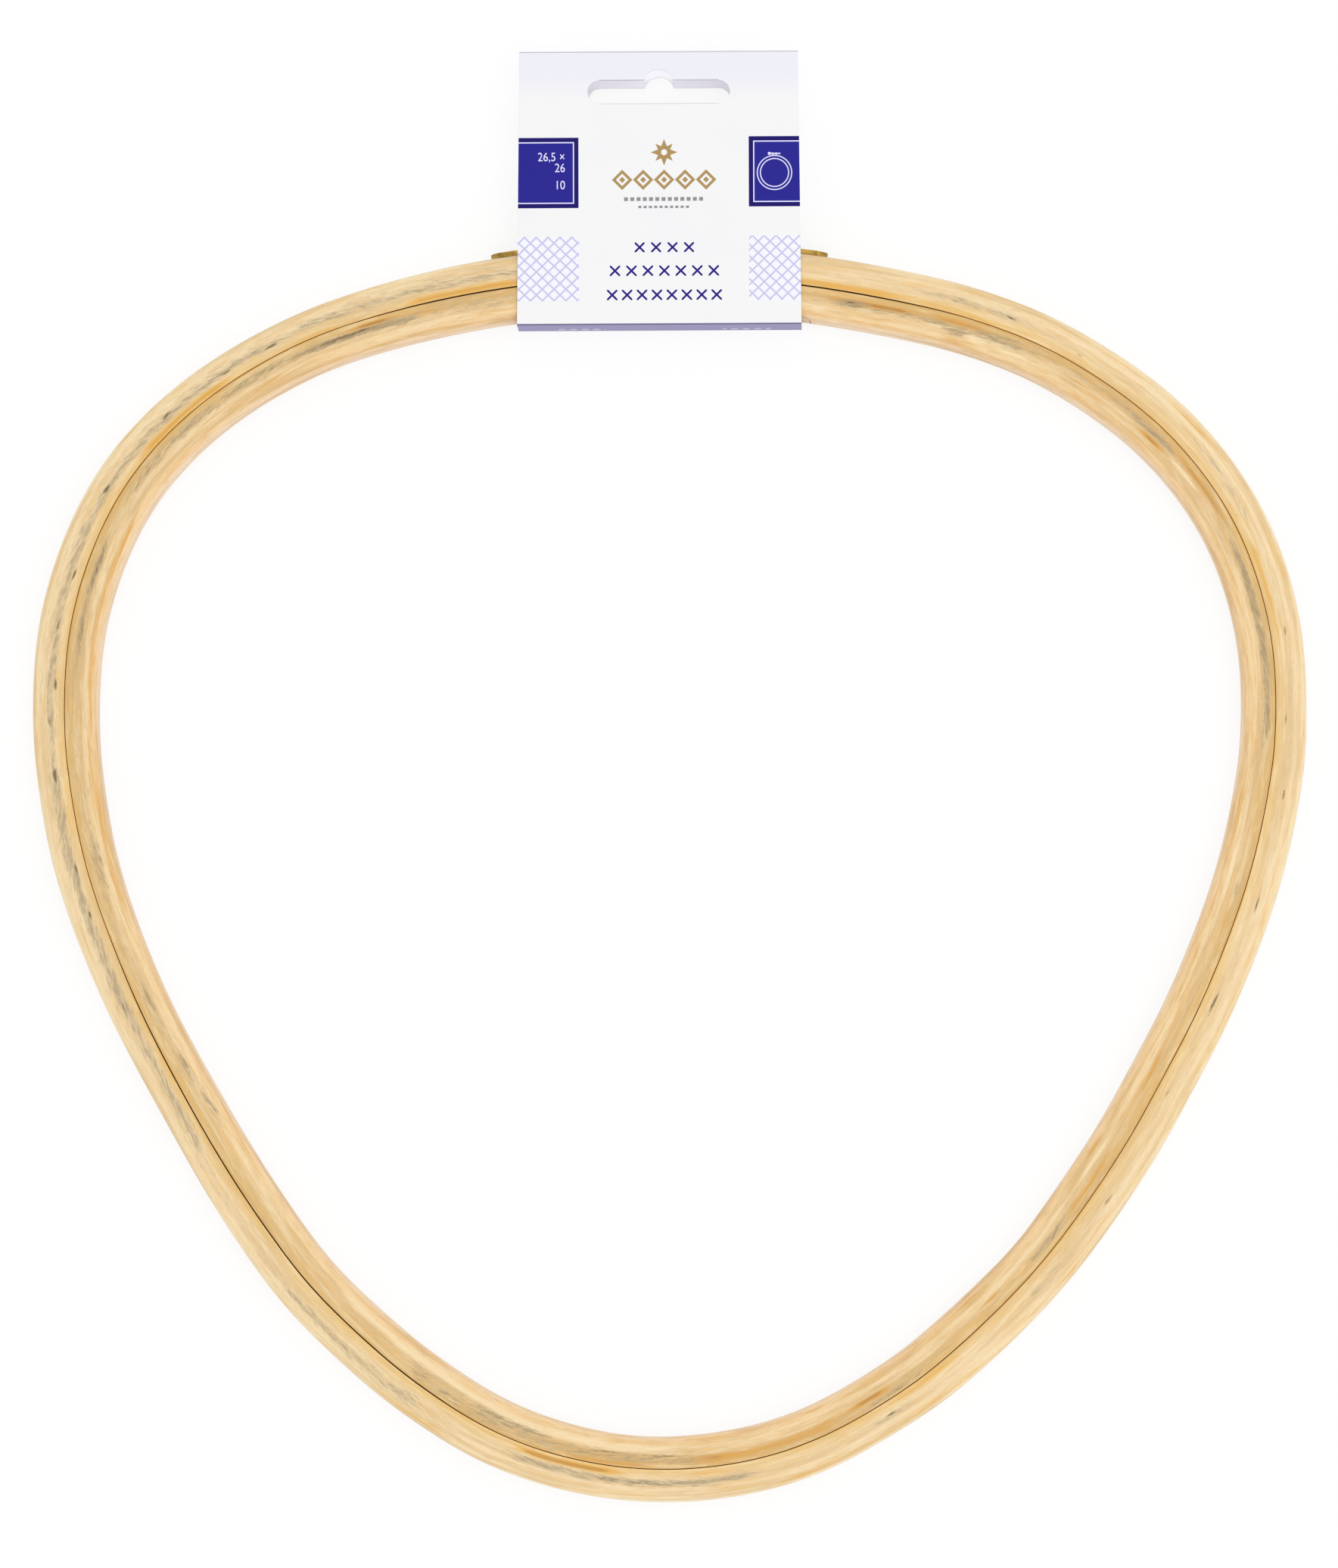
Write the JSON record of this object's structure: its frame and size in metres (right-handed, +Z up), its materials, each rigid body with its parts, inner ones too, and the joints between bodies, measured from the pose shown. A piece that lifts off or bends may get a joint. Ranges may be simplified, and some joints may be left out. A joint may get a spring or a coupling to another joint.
{
  "type": "embroidery hoop",
  "caption": "Rounded triangular wooden embroidery hoop with an inner ring, a split outer ring, a brass screw clamp and a folded card sleeve with a hanging slot.",
  "frame": {"origin": "on the surface that the hoop lies on, under the middle of the whole object's box", "axes": "+Z up along the hoop's axis, towards the card's front panel; +Y from the hoop's tip to its clamp; +X to the right seen from the front"},
  "size_m": [0.2648, 0.3008, 0.01],
  "materials": {
    "outer_wood": "sanded bare wood, satin",
    "inner_wood": "sanded bare wood, satin",
    "bracket_brass": "rolled brass strip, satin",
    "pin_brass": "domed and polished",
    "screw_brass": "turned, knurled head",
    "printed_card": "coated white card, printed"
  },
  "bodies": {
    "root": {"outer_hoop_left": "outer_wood", "clamp_bracket_left": "bracket_brass", "bracket_pins_left": "pin_brass", "card_back_panel": "printed_card"},
    "right_half": {"outer_hoop_right": "outer_wood", "clamp_bracket_right": "bracket_brass", "bracket_pins_right": "pin_brass"},
    "inner_ring": {"inner_hoop": "inner_wood"},
    "screw": {"tension_screw": "screw_brass"},
    "nut": {"tension_nut": "screw_brass"},
    "card_front": {"card_front_panel": "printed_card"}
  },
  "joints": [
    {"name": "screw_turn", "type": "hinge", "parent": "root", "child": "screw", "pos_m": [-0.00179, 0.11625, 0.005], "axis": [-1, 0, 0], "range_deg": [0, 4114.49]},
    {"name": "hoop_flex", "type": "hinge", "parent": "root", "child": "right_half", "pos_m": [-0.00099, -0.15035, 0.005], "axis": [0, 0, -1], "range_deg": [0, 1.72]},
    {"name": "nut_slide", "type": "slide", "parent": "root", "child": "nut", "axis": [1, 0, 0], "range_m": [0, 0.008]},
    {"name": "inner_lift", "type": "slide", "parent": "root", "child": "inner_ring", "axis": [0, 0, 1], "range_m": [0, 0.01]},
    {"name": "card_fold", "type": "hinge", "parent": "root", "child": "card_front", "pos_m": [-0.00179, 0.09311, 0.0096], "axis": [1, 0, 0], "range_deg": [0, 180.01]}
  ],
  "couplings": [
    {"joint": "screw_turn", "follows": "hoop_flex", "ratio": 2393},
    {"joint": "nut_slide", "follows": "hoop_flex", "m_per_rad": 0.2666},
    {"joint": "card_fold", "follows": "inner_lift", "rad_per_m": 314.16}
  ]
}
